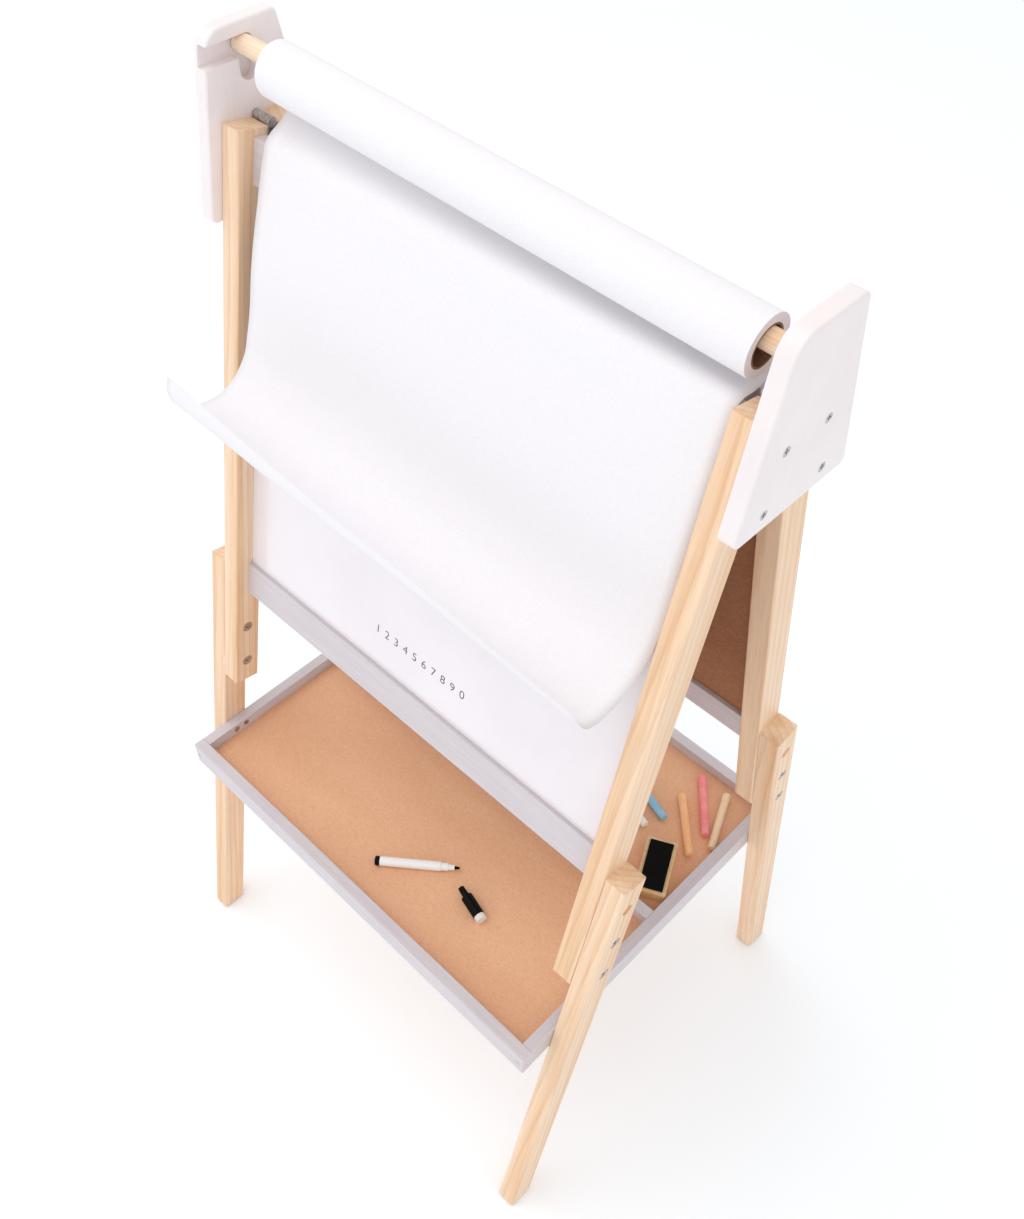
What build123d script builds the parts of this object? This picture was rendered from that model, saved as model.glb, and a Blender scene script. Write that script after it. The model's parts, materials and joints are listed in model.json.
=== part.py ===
from build123d import *
import os
from math import asin, cos, degrees, hypot, radians, sin, tan

# Double-sided children's easel, a fixed A-frame with a whiteboard in front and a chalkboard behind.
# X is the width, -Y the whiteboard side, +Z up, origin on the floor under the middle of the four feet.

# ---- driving sizes, mm ----
LEG_TILT = 11.57            # lean of every leg from the vertical, degrees
LEG_OUTER_X = 264.4         # outer face of an upper leg, inner face of its extension
LEG_W = 22.0                # leg size along X
LEG_D = 30.0                # leg size across its length, front to back
LEG_TOP_Z = 1036.7          # inner top corner of an upper leg
HINGE_HALF_GAP = 4.6        # half the gap between front and rear legs at the top
LEG_CLEARANCE = 73.8        # bottom of an upper leg above the tray's top edge
OVERLAP = 162.0             # upper leg and extension side by side
LEG_EDGE = 1.8              # rounding of the long leg edges

HOLE_FROM_TOP = 33.5        # first hole below the extension's top end
HOLE_PITCH = 50.0
BOLT_HOLE_R = 3.3
NUT_HOLE_R = 4.1
COUNTERBORE_R = 6.2
COUNTERBORE_D = 2.2
BOLT_HEAD_R = 6.0
BOLT_HEAD_T = 1.8
BOLT_R = 3.0
BOLT_LENGTH = 33.0
NUT_R = 4.0
NUT_LENGTH = 15.0
THREAD_GAP = 0.05
SOCKET_R = 2.4              # hexagon socket in the bolts and nuts
SOCKET_D = 1.4

PAD_T = 2.0                 # felt pad under each foot
PAD_INSET = 1.2

RAIL_TOP_S = 6.0            # top rail's upper edge, measured down the leg
RAIL_LOW_RISE = 167.0       # bottom rail's upper edge, measured up from the leg's bottom
RAIL_H = 40.0
RAIL_INNER = 1.5            # rail's inner face, outward from the leg's inner face
RAIL_T = 13.0
RAIL_EDGE = 1.2
PANEL_INNER = 6.0           # back of the board, outward from the leg's inner face
BACKING_T = 3.2
SURFACE_T = 0.8
GROOVE_D = 6.0
GROOVE_GAP = 0.1
DOWEL_PIN_R = 4.0
DOWEL_PIN_L = 32.0

PLATE_T = 15.0
PLATE_RISE = 75.3           # plate's top edge above the tops of the legs
PLATE_DROP = 74.7           # its bottom edge below them
PLATE_FRONT_LOW = -60.0
PLATE_FRONT_TOP = -36.0
PLATE_REAR_LOW = 65.0
PLATE_REAR_TOP = 33.0
PLATE_NOSE_R = 19.0
PLATE_CORNER_R = 6.0
PLATE_EDGE = 2.2
PLATE_SCREW_DROPS = (12.2, 59.2)
SCREW_HEAD_R = 4.0
SCREW_HEAD_T = 2.2
SCREW_R = 2.0
SCREW_BITE = 14.0           # how far a screw goes into the leg behind

BAR_R = 8.0                 # round bar that carries the paper roll
BAR_GAP = 0.4
BAR_END_GAP = 1.0
SLOT_D = 9.5                # depth of the left plate's L-shaped slot and the right plate's hole
SLOT_Y = 0.0                # middle of the slot's pocket and of the hole
CHANNEL_RISE = 56.3         # middle of the slot's level channel above the tops of the legs
SEAT_RISE = 37.3            # middle of the round seat at the pocket's foot above them
CORE_R = 14.2
CORE_T = 1.5
ROLL_R = 22.3
ROLL_SIDE_ROOM = 63.8       # free length of bar between the plates, both ends together
ROLL_MIDDLE_X = 6.5
ROLL_GAP = 0.3

TRAY_TOP_Z = 364.3
TRAY_H = 32.4
TRAY_T = 12.5
TRAY_DEPTH = 412.5
TRAY_MIDDLE_Y = -11.0
TRAY_EDGE = 0.8
TRAY_SCREW_DROP = 7.5       # screws into the legs, below the tray's top edge
TRAY_SCREW_GAP = 14.0       # between the two screws in a leg
END_PIN_R = 1.8
END_PIN_L = 16.0
FLOOR_DROP = 14.8           # tray floor below the rail tops
FLOOR_T = 3.0
FLOOR_GROOVE = 4.0
FLOOR_GAP = 0.15

HINGE_BARREL_R = 4.2
HINGE_PIN_R = 1.5
HINGE_LEAF_T = 1.2
HINGE_LEAF_H = 24.0
HINGE_BARREL_RISE = 1.6     # barrel's middle above the inner top corner of a leg
HINGE_LEAF_INSET = 0.5
HINGE_KNUCKLES = 5
HINGE_GAP = 0.1             # beside each knuckle
HINGE_SCREW_R = 1.2
HINGE_SCREW_HEAD_R = 2.3
HINGE_SCREW_L = 10.0
HINGE_SCREW_S = 16.0        # screws below the leg's top end

SHEET_T = 0.8
SHEET_INSET = 0.5           # sheet's edges inside the roll's ends
SHEET_LEAN = 1.0            # its side edges lean to the left going down, degrees
SHEET_LIP_GAP = 1.8         # sheet's middle above the top rail's front edge
SHEET_STEPS = 40            # points along each face of the section
REST_GAP = 0.3              # under round things that lie in the tray
CHALK_R = 4.6
CHALK_L = 78.0
CHALK_TAPER = 0.4
CHALK_EDGE = 0.7
ERASER_L = 68.0
ERASER_W = 34.0
ERASER_H = 14.0
ERASER_FELT_T = 2.0
ERASER_BORDER = 4.0
ERASER_EDGE = 1.5
MARKER_L = 93.0
MARKER_R = 5.2
MARKER_PLUG_L = 5.5
MARKER_BARREL_L = 67.0
MARKER_COLLAR_R = 4.3
MARKER_COLLAR_L = 8.0
MARKER_NOSE_L = 7.0
MARKER_NOSE_R = 3.2
MARKER_NOSE_TIP_R = 2.8
NIB_R = 2.0
NIB_TIP_R = 1.2
CAP_L = 44.0
CAP_R = 6.4
CAP_NECK_R = 3.4
CAP_NECK_L = 12.0
CAP_BODY_L = 26.0
CAP_FELT_R = 5.8

# ---- worked out from the sizes above ----
TILT = radians(LEG_TILT)
LEG_LENGTH = (LEG_TOP_Z - TRAY_TOP_Z - LEG_CLEARANCE) / cos(TILT)
RAIL_LOW_S = LEG_LENGTH - RAIL_LOW_RISE
PLATE_TOP_Z = LEG_TOP_Z + PLATE_RISE
PLATE_LOW_Z = LEG_TOP_Z - PLATE_DROP
CHANNEL_Z = LEG_TOP_Z + CHANNEL_RISE
SEAT_Z = LEG_TOP_Z + SEAT_RISE
ROLL_LENGTH = 2 * LEG_OUTER_X - ROLL_SIDE_ROOM
LEG_INNER_X = LEG_OUTER_X - LEG_W
EXT_TOP_S = LEG_LENGTH - OVERLAP
FLOOR_Z = TRAY_TOP_Z - FLOOR_DROP
TRAY_FRONT_Y = TRAY_MIDDLE_Y - TRAY_DEPTH / 2
TRAY_REAR_Y = TRAY_MIDDLE_Y + TRAY_DEPTH / 2
BAR_SEAT_X = LEG_OUTER_X + SLOT_D / 2
BAR_TILT = degrees(asin((CHANNEL_Z - SEAT_Z) / (2 * BAR_SEAT_X)))
ROLL_DROP = CORE_R - BAR_R - ROLL_GAP
BORE_S = [EXT_TOP_S + HOLE_FROM_TOP + HOLE_PITCH * i for i in range(3)]
BOLT_S = BORE_S[1:]

# Frame of a front leg: X across, local Y up the leg, local Z outward from its inner face.
FRONT = Plane(origin=(0, -HINGE_HALF_GAP, LEG_TOP_Z), x_dir=(1, 0, 0), z_dir=(0, -cos(TILT), sin(TILT)))


def save(name, shape):
    """Write one node."""
    shape.label = name
    export_step(shape, f"parts/{name}.step")


def group(solids):
    """Separate solids that share one node."""
    return Compound(children=list(solids))


def left_right(shape):
    """A shape at -X and its copy at +X."""
    return [shape, mirror(shape, about=Plane.YZ)]


def front_rear(shape):
    """A shape at the front and its copy at the rear."""
    return [shape, mirror(shape, about=Plane.XZ)]


def four(shape):
    """Copies of a front-left shape on all four legs."""
    return [s for f in front_rear(shape) for s in left_right(f)]


def along_leg(x0, x1, s0, s1, u0, u1, edge=0.0, axis=Axis.Y):
    """Block in the front leg's frame: s runs down the leg, u outward from its inner face."""
    block = Box(x1 - x0, s1 - s0, u1 - u0)
    if edge:
        block = fillet(block.edges().filter_by(axis), edge)
    return FRONT * Pos((x0 + x1) / 2, -(s0 + s1) / 2, (u0 + u1) / 2) * block


def leg_cylinder(radius, x0, x1, s, u=LEG_D / 2):
    """Cylinder along X at a place on the front leg."""
    return FRONT * Pos((x0 + x1) / 2, -s, u) * Rot(0, 90, 0) * Cylinder(radius, x1 - x0)


def box_between(x0, x1, y0, y1, z0, z1, edge=0.0, axis=Axis.X):
    """Block between two corners, with its edges along one axis rounded."""
    block = Box(x1 - x0, y1 - y0, z1 - z0)
    if edge:
        block = fillet(block.edges().filter_by(axis), edge)
    return Pos((x0 + x1) / 2, (y0 + y1) / 2, (z0 + z1) / 2) * block


# ---- legs ----
def upper_leg():
    """Front left upper leg, grooved for the board and bored for two bolts."""
    leg = along_leg(-LEG_OUTER_X, -LEG_INNER_X, 0, LEG_LENGTH, 0, LEG_D, LEG_EDGE)
    panel_t = BACKING_T + SURFACE_T
    leg -= along_leg(-LEG_INNER_X - GROOVE_D, -LEG_INNER_X + 1,
                     RAIL_TOP_S + RAIL_H / 2, RAIL_LOW_S + RAIL_H / 2,
                     PANEL_INNER - GROOVE_GAP, PANEL_INNER + panel_t + GROOVE_GAP)
    for s in BOLT_S:
        leg -= leg_cylinder(NUT_HOLE_R, -LEG_OUTER_X - 1, -LEG_INNER_X + 1, s)
        leg -= leg_cylinder(COUNTERBORE_R, -LEG_INNER_X - COUNTERBORE_D, -LEG_INNER_X + 1, s)
    for s in (RAIL_TOP_S + RAIL_H / 2, RAIL_LOW_S + RAIL_H / 2):
        leg -= rail_pin(s)
    for y, z in plate_screw_places():
        if y < 0:
            leg -= countersunk(-LEG_OUTER_X - PLATE_T, PLATE_T + SCREW_BITE, y, z)
    for screw in hinge_leaf_screws():
        leg -= screw
    return leg


def extension():
    """Front left extension, cut level at the foot, with three adjusting holes."""
    length = LEG_TOP_Z / cos(TILT) + LEG_D
    leg = along_leg(-LEG_OUTER_X - LEG_W, -LEG_OUTER_X, EXT_TOP_S, length, 0, LEG_D, LEG_EDGE)
    leg -= box_between(-1000, 1000, -1000, 1000, -200, PAD_T)
    for s in BORE_S:
        leg -= leg_cylinder(BOLT_HOLE_R, -LEG_OUTER_X - LEG_W - 1, -LEG_OUTER_X + 1, s)
        leg -= leg_cylinder(COUNTERBORE_R, -LEG_OUTER_X - LEG_W - 1,
                            -LEG_OUTER_X - LEG_W + COUNTERBORE_D, s)
    for screw in tray_leg_screws_left():
        leg -= screw
    return leg


def foot_middle_y():
    """Middle of a foot's sole, front side."""
    inner = HINGE_HALF_GAP + (LEG_TOP_Z - PAD_T / 2) * tan(TILT)
    return -(inner + LEG_D / cos(TILT) / 2)


def foot_pad():
    """Felt pad under the front left foot."""
    depth = LEG_D / cos(TILT) - 2 * PAD_INSET
    width = LEG_W - 2 * PAD_INSET
    pad = fillet(Box(width, depth, PAD_T).edges().filter_by(Axis.Z), LEG_EDGE)
    return Pos(-LEG_OUTER_X - LEG_W / 2, foot_middle_y(), PAD_T / 2) * pad


def leg_bolt(s):
    """Bolt from the extension's outer face, with a hexagon socket in its head."""
    face = -LEG_OUTER_X - LEG_W + COUNTERBORE_D
    head = leg_cylinder(BOLT_HEAD_R, face - BOLT_HEAD_T, face, s)
    head += leg_cylinder(BOLT_R, face, face + BOLT_LENGTH, s)
    socket = extrude(RegularPolygon(SOCKET_R, 6), SOCKET_D)
    head -= FRONT * Pos(face - BOLT_HEAD_T, -s, LEG_D / 2) * Rot(0, 90, 0) * socket
    return head


def leg_nut(s):
    """Sleeve nut let into the upper leg's inner face."""
    face = -LEG_INNER_X - COUNTERBORE_D
    nut = leg_cylinder(BOLT_HEAD_R, face, face + BOLT_HEAD_T, s)
    nut += leg_cylinder(NUT_R, face - NUT_LENGTH, face, s)
    nut -= leg_cylinder(BOLT_R + THREAD_GAP, face - NUT_LENGTH - 1, face, s)
    socket = extrude(RegularPolygon(SOCKET_R, 6), SOCKET_D)
    nut -= FRONT * Pos(face + BOLT_HEAD_T - SOCKET_D, -s, LEG_D / 2) * Rot(0, 90, 0) * socket
    return nut


# ---- boards and their rails ----
def rail_pin(s):
    """Hidden wooden pin between a rail and the front left leg."""
    middle = -LEG_INNER_X
    return leg_cylinder(DOWEL_PIN_R, middle - DOWEL_PIN_L / 2, middle + DOWEL_PIN_L / 2, s,
                        RAIL_INNER + RAIL_T / 2)


def board_rail(s0, groove_low):
    """Painted rail between the front legs, grooved for the board along its long edge."""
    rail = along_leg(-LEG_INNER_X, LEG_INNER_X, s0, s0 + RAIL_H, RAIL_INNER, RAIL_INNER + RAIL_T,
                     RAIL_EDGE, Axis.X)
    edge_s = s0 + RAIL_H if groove_low else s0
    rail -= along_leg(-LEG_INNER_X - 1, LEG_INNER_X + 1, edge_s - GROOVE_D, edge_s + GROOVE_D,
                      PANEL_INNER - GROOVE_GAP, PANEL_INNER + BACKING_T + SURFACE_T + GROOVE_GAP)
    for pin in left_right(rail_pin(s0 + RAIL_H / 2)):
        rail -= pin
    return rail


def board_layer(u0, thickness):
    """One layer of a board, let into the rails and the legs."""
    reach = GROOVE_D - 2 * GROOVE_GAP
    return along_leg(-LEG_INNER_X - reach, LEG_INNER_X + reach,
                     RAIL_TOP_S + RAIL_H - reach, RAIL_LOW_S + reach, u0, u0 + thickness)


# ---- side plates ----
def plate_outline():
    """Side plate's outline in the Y-Z plane."""
    points = [(PLATE_FRONT_LOW, PLATE_LOW_Z), (PLATE_REAR_LOW, PLATE_LOW_Z),
              (PLATE_REAR_TOP, PLATE_TOP_Z), (PLATE_FRONT_TOP, PLATE_TOP_Z)]
    face = make_face(Polyline(*points, close=True))
    nose = face.vertices().sort_by(Axis.Y)[-2:].sort_by(Axis.X)[0]
    face = fillet(nose, PLATE_NOSE_R)
    others = [v for v in face.vertices() if min(hypot(v.X - y, v.Y - z) for y, z in points[:3]) < 0.01]
    return fillet(others, PLATE_CORNER_R)


def slot_solid(x0, x1):
    """The L-shaped slot for the bar: a level channel in, then a round-footed pocket."""
    r = BAR_R + BAR_GAP
    channel = box_between(x0, x1, PLATE_FRONT_LOW - 20, SLOT_Y, CHANNEL_Z - r, CHANNEL_Z + r)
    back = Pos((x0 + x1) / 2, SLOT_Y, CHANNEL_Z) * Rot(0, 90, 0) * Cylinder(r, x1 - x0)
    pocket = box_between(x0, x1, SLOT_Y - r, SLOT_Y + r, SEAT_Z, CHANNEL_Z)
    seat = Pos((x0 + x1) / 2, SLOT_Y, SEAT_Z) * Rot(0, 90, 0) * Cylinder(r, x1 - x0)
    return channel + back + pocket + seat


def blind_hole(x0, x1):
    """The round hole that holds the bar's other end."""
    return Pos((x0 + x1) / 2, SLOT_Y, SEAT_Z) * Rot(0, 90, 0) * Cylinder(BAR_R + BAR_GAP, x1 - x0)


def plate_screw_places():
    """Screw middles on the legs' centre lines, as (y, z)."""
    places = []
    for drop in PLATE_SCREW_DROPS:
        z = LEG_TOP_Z - drop
        y = HINGE_HALF_GAP + (LEG_TOP_Z - z) * tan(TILT) + LEG_D / cos(TILT) / 2
        places += [(-y, z), (y, z)]
    return places


def countersunk(x_head, length, y, z):
    """Countersunk screw along +X, its head's face at x_head."""
    head = Cone(SCREW_HEAD_R, SCREW_R, SCREW_HEAD_T)
    shank = Cylinder(SCREW_R, length)
    screw = Pos(0, 0, SCREW_HEAD_T / 2) * head + Pos(0, 0, length / 2) * shank
    return Pos(x_head, y, z) * Rot(0, 90, 0) * screw


def cross_slot(x_head, y, z):
    """Cross recess in a screw head whose face is at x_head and points to -X."""
    arm = Box(2.0, 4.6, 0.9)
    return Pos(x_head, y, z) * (arm + Rot(90, 0, 0) * arm)


def side_plate(bar_seat):
    """Side plate at -X with four countersunk holes and a seat for the bar cut in its inner face."""
    face = Plane(origin=(-LEG_OUTER_X - PLATE_T, 0, 0), x_dir=(0, 1, 0), z_dir=(1, 0, 0))
    plate = extrude(face * plate_outline(), PLATE_T)
    faces = plate.faces().filter_by(Axis.X)
    plate = fillet([e for f in faces for e in f.edges()], PLATE_EDGE)
    plate -= bar_seat(-LEG_OUTER_X - SLOT_D, -LEG_OUTER_X + PLATE_EDGE)
    for y, z in plate_screw_places():
        plate -= countersunk(-LEG_OUTER_X - PLATE_T, PLATE_T + SCREW_BITE, y, z)
    return plate


def plate_screws():
    """Four screws through the left plate into the legs."""
    face = -LEG_OUTER_X - PLATE_T
    return [countersunk(face, PLATE_T + SCREW_BITE, y, z) - cross_slot(face, y, z)
            for y, z in plate_screw_places()]


# ---- bar, roll and paper ----
def on_bar(x, drop, shape):
    """Place a shape modelled along X on the tilted bar, at a distance x from its middle."""
    mid_z = (CHANNEL_Z + SEAT_Z) / 2
    return Pos(0, SLOT_Y, mid_z) * Rot(0, BAR_TILT, 0) * Pos(x, 0, -drop) * Rot(0, 90, 0) * shape


def paper_bar():
    """Round bar between the two plates, its left end still up in the channel."""
    length = 2 * (LEG_OUTER_X + SLOT_D - BAR_END_GAP)
    bar = Cylinder(BAR_R, length)
    return on_bar(0, 0, chamfer(bar.edges().filter_by(GeomType.CIRCLE), 0.8))


def tube(r_out, r_in, length, edge=0.0):
    """Plain tube along Z."""
    ring = Cylinder(r_out, length)
    if edge:
        ring = fillet(ring.edges().filter_by(GeomType.CIRCLE), edge)
    return ring - Cylinder(r_in, length + 2)


def roll_axis_z(x):
    """Height of the roll's axis at a place along the easel."""
    middle = (CHANNEL_Z + SEAT_Z) / 2 - ROLL_DROP * cos(radians(BAR_TILT))
    return middle - x * tan(radians(BAR_TILT))


# Where the paper goes beyond the top rail's front edge, as (back, up) from that edge.
FALL_LEFT = [(-13, -36), (-30.5, -93), (-46, -156), (-58, -184.5), (-81, -202), (-107, -203),
             (-128, -193.5), (-136, -176), (-132.5, -158.5)]
FALL_RIGHT = [(-3.2, -7), (-10.8, -40), (-26.5, -120), (-43.5, -206), (-58.5, -226), (-87.5, -240),
              (-109, -237.5), (-121, -224), (-124.5, -212)]
SLACK_LEFT = (2.5, -35.5)
SLACK_RIGHT = (4.0, -31.0)


def sheet_section(x, slack, fall):
    """Section of the hanging paper near one of its side edges.

    It leaves the back of the roll, hangs slack to the top rail's front edge, and falls in front of the board.
    slack is one point between the roll and the rail, as (y, z below the roll's axis)."""
    roll_z = roll_axis_z(x)
    across = (cos(radians(SHEET_LEAN)), 0, -sin(radians(SHEET_LEAN)))
    plane = Plane(origin=(x, 0, roll_z), x_dir=(0, 1, 0), z_dir=across)
    lip = FRONT.from_local_coords((0, -RAIL_TOP_S + SHEET_LIP_GAP, RAIL_INNER + RAIL_T))
    back = ROLL_R + ROLL_GAP + SHEET_T / 2
    points = [(back, 0), (0.96 * back, -0.38 * back), (0.77 * back, -0.85 * back), slack]
    points.append((lip.Y, lip.Z - roll_z))
    points += [(lip.Y + y, lip.Z - roll_z + z) for y, z in fall]
    middle = Spline(*points)
    steps = [i / SHEET_STEPS for i in range(SHEET_STEPS + 1)]
    faces = []
    for side in (SHEET_T / 2, -SHEET_T / 2):
        faces.append([middle @ u + (middle % u).rotate(Axis.Z, 90) * side for u in steps])
    front, back = faces
    edges = [Spline(*front), Line(front[-1], back[-1]), Spline(*reversed(back)), Line(back[0], front[0])]
    return plane * make_face(edges)


def paper_sheet():
    """Loose paper that hangs from the roll, straight from its left edge to its right edge."""
    half = ROLL_LENGTH / 2 - SHEET_INSET
    left = sheet_section(ROLL_MIDDLE_X - half, SLACK_LEFT, FALL_LEFT)
    right = sheet_section(ROLL_MIDDLE_X + half, SLACK_RIGHT, FALL_RIGHT)
    return loft([left.face(), right.face()], ruled=True)


# ---- tray ----
def tray_floor(y0, y1, gap=0.0):
    """Floor panel let into the rails around it."""
    reach = FLOOR_GROOVE - FLOOR_GAP + gap
    inner_x = LEG_OUTER_X - TRAY_T
    return box_between(-inner_x - reach, inner_x + reach, y0 - reach, y1 + reach,
                       FLOOR_Z - FLOOR_T - gap, FLOOR_Z + gap)


def tray_bays():
    """Front and rear openings of the tray, as (y0, y1)."""
    front = (TRAY_FRONT_Y + TRAY_T, TRAY_MIDDLE_Y - TRAY_T / 2)
    rear = (TRAY_MIDDLE_Y + TRAY_T / 2, TRAY_REAR_Y - TRAY_T)
    return front, rear


def tray_rail(x0, x1, y0, y1, axis):
    """Painted tray rail with the floor grooves and the screw holes cut in it."""
    rail = box_between(x0, x1, y0, y1, TRAY_TOP_Z - TRAY_H, TRAY_TOP_Z, TRAY_EDGE, axis)
    for bay in tray_bays():
        rail -= tray_floor(*bay, gap=FLOOR_GAP)
    for screw in tray_corner_screws() + tray_end_pins():
        rail -= screw
    for screw in tray_leg_screws_left():
        for hole in left_right(screw):
            rail -= hole
    return rail


def tray_leg_screw_places():
    """Screws from the left side rail into the extensions, as (y, z)."""
    z = TRAY_TOP_Z - TRAY_SCREW_DROP
    y_leg = HINGE_HALF_GAP + (LEG_TOP_Z - z) * tan(TILT) + LEG_D / cos(TILT) / 2
    half = TRAY_SCREW_GAP / 2
    return [(side * (y_leg + dy), z) for side in (-1, 1) for dy in (-half, half)]


def tray_leg_screws_left(recess=False):
    """Screws through the left side rail into the front and rear extensions."""
    inner = LEG_OUTER_X - TRAY_T
    screws = []
    for y, z in tray_leg_screw_places():
        screw = countersunk(inner, TRAY_T + SCREW_BITE, y, z)
        if recess:
            screw -= cross_slot(inner, y, z)
        screws.append(mirror(screw, about=Plane.YZ))
    return screws


def tray_corner_screws():
    """Screws through the front and rear rails into the ends of the side rails."""
    z = TRAY_TOP_Z - TRAY_H / 2
    screw = Pos(0, 0, SCREW_HEAD_T / 2) * Cylinder(SCREW_HEAD_R - 0.6, SCREW_HEAD_T)
    screw += Pos(0, 0, TRAY_T) * Cylinder(SCREW_R, 2 * TRAY_T)
    screws = []
    for x in (-LEG_OUTER_X + TRAY_T / 2, LEG_OUTER_X - TRAY_T / 2):
        screws.append(Pos(x, TRAY_FRONT_Y, z) * Rot(-90, 0, 0) * screw)
        screws.append(Pos(x, TRAY_REAR_Y, z) * Rot(90, 0, 0) * screw)
    return screws


def tray_end_pins():
    """Steel pins in the end grain of the front and rear rails."""
    pin = Pos(-LEG_OUTER_X + END_PIN_L / 2, 0, FLOOR_Z - FLOOR_T - 2 * END_PIN_R) * Rot(0, 90, 0)
    pin = pin * Cylinder(END_PIN_R, END_PIN_L)
    pins = []
    for y in (TRAY_FRONT_Y + TRAY_T / 2, TRAY_REAR_Y - TRAY_T / 2):
        pins += left_right(Pos(0, y, 0) * pin)
    return pins


def tray():
    """All rails and both floors of the tray."""
    x = LEG_OUTER_X
    front_rail = tray_rail(-x, x, TRAY_FRONT_Y, TRAY_FRONT_Y + TRAY_T, Axis.X)
    rear_rail = tray_rail(-x, x, TRAY_REAR_Y - TRAY_T, TRAY_REAR_Y, Axis.X)
    save("tray_front_rail", front_rail)
    save("tray_rear_rail", rear_rail)
    side = tray_rail(-x, -x + TRAY_T, TRAY_FRONT_Y + TRAY_T, TRAY_REAR_Y - TRAY_T, Axis.Y)
    for name, shape in zip(("left", "right"), left_right(side)):
        save(f"tray_side_rail_{name}", shape)
    half = TRAY_T / 2
    inner = x - TRAY_T
    divider = tray_rail(-inner, inner, TRAY_MIDDLE_Y - half, TRAY_MIDDLE_Y + half, Axis.X)
    save("tray_divider", divider)
    front, rear = tray_bays()
    save("tray_floor_front", tray_floor(*front))
    save("tray_floor_rear", tray_floor(*rear))
    save("tray_corner_screws", group(tray_corner_screws()))
    save("tray_leg_screws", group(s for screw in tray_leg_screws_left(True) for s in left_right(screw)))
    save("tray_end_pins", group(tray_end_pins()))


# ---- hinges ----
def hinge_leaf_screws():
    """Two screws through a leaf into the front left leg's inner face."""
    head = Cone(HINGE_SCREW_HEAD_R, HINGE_SCREW_R, HINGE_LEAF_T)
    shank = Cylinder(HINGE_SCREW_R, HINGE_SCREW_L)
    screw = Pos(0, 0, HINGE_LEAF_T / 2) * head + Pos(0, 0, HINGE_SCREW_L / 2) * shank
    middle = -LEG_OUTER_X + LEG_W / 2
    places = (middle - LEG_W / 4, middle + LEG_W / 4)
    return [FRONT * Pos(x, -HINGE_SCREW_S, -HINGE_LEAF_T) * screw for x in places]


def hinge_leaf(knuckles):
    """Leaf on the front left leg's inner face with its knuckles round the pin."""
    x0 = -LEG_OUTER_X + HINGE_LEAF_INSET
    length = LEG_W - 2 * HINGE_LEAF_INSET
    leaf = along_leg(x0, x0 + length, 3 * HINGE_LEAF_T, HINGE_LEAF_H, -HINGE_LEAF_T, 0)
    barrel_z = LEG_TOP_Z + HINGE_BARREL_RISE
    step = length / HINGE_KNUCKLES
    for i in knuckles:
        a = x0 + step * i + HINGE_GAP
        b = x0 + step * (i + 1) - HINGE_GAP
        knuckle = Pos((a + b) / 2, 0, barrel_z) * Rot(0, 90, 0) * Cylinder(HINGE_BARREL_R, b - a)
        web = along_leg(a, b, 0, 4 * HINGE_LEAF_T, -HINGE_LEAF_T, 0)
        leaf += knuckle + web
    for screw in hinge_leaf_screws():
        leaf -= screw
    bore = Cylinder(HINGE_PIN_R + THREAD_GAP, length + 4)
    return leaf - Pos(x0 + length / 2, 0, barrel_z) * Rot(0, 90, 0) * bore


def hinge_pin():
    """Pin of the left hinge."""
    x_mid = -LEG_OUTER_X + LEG_W / 2
    z = LEG_TOP_Z + HINGE_BARREL_RISE
    return Pos(x_mid, 0, z) * Rot(0, 90, 0) * Cylinder(HINGE_PIN_R, LEG_W - 2 * HINGE_LEAF_INSET)


# ---- things that lie in the tray ----
def lying(x, y, heading, radius, shape):
    """Lay a round thing modelled along X on the tray floor."""
    return Pos(x, y, FLOOR_Z + radius + REST_GAP) * Rot(0, 0, heading) * Rot(0, 90, 0) * shape


def stick(length):
    """Chalk stick, a little thinner at one end."""
    chalk = Cone(CHALK_R, CHALK_R - CHALK_TAPER, length)
    return fillet(chalk.edges().filter_by(GeomType.CIRCLE), CHALK_EDGE)


# Middle (x, y), heading in degrees and length of each chalk.
CHALKS = {"blue": (147.7, 107.3, -16.4, CHALK_L), "white": (138.0, 85.5, -16.4, CHALK_L),
          "orange": (207.0, 106.4, -45.4, CHALK_L), "pink": (205.8, 140.8, -49.4, CHALK_L),
          "cream": (231.2, 136.0, -66.0, 74.0)}
ERASER_PLACE = (219.5, 39.0, -63.1)
MARKER_PLACE = (31.0, -138.9, 38.8)
CAP_PLACE = (107.0, -131.3, -14.5)


def stacked(length, *pieces):
    """Join (height, shape) pieces end to end along Z, the whole length centred."""
    joined = []
    z = -length / 2
    for height, shape in pieces:
        joined.append(Pos(0, 0, z + height / 2) * shape)
        z += height
    return joined


def marker():
    """Small board marker: end plug, barrel with its collar and nose, and the nib."""
    x, y, heading = MARKER_PLACE
    nib_l = MARKER_L - MARKER_PLUG_L - MARKER_BARREL_L - MARKER_COLLAR_L - MARKER_NOSE_L
    plug = fillet(Cylinder(MARKER_R, MARKER_PLUG_L).edges().group_by(Axis.Z)[0], 1.2)
    plug, barrel, collar, nose, nib = stacked(
        MARKER_L,
        (MARKER_PLUG_L, plug),
        (MARKER_BARREL_L, Cylinder(MARKER_R, MARKER_BARREL_L)),
        (MARKER_COLLAR_L, Cylinder(MARKER_COLLAR_R, MARKER_COLLAR_L)),
        (MARKER_NOSE_L, Cone(MARKER_NOSE_R, MARKER_NOSE_TIP_R, MARKER_NOSE_L)),
        (nib_l, Cone(NIB_R, NIB_TIP_R, nib_l)))
    for name, shape in (("plug", plug), ("barrel", barrel + collar + nose), ("nib", nib)):
        save(f"marker_{name}", lying(x, y, heading, MARKER_R, shape))


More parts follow.
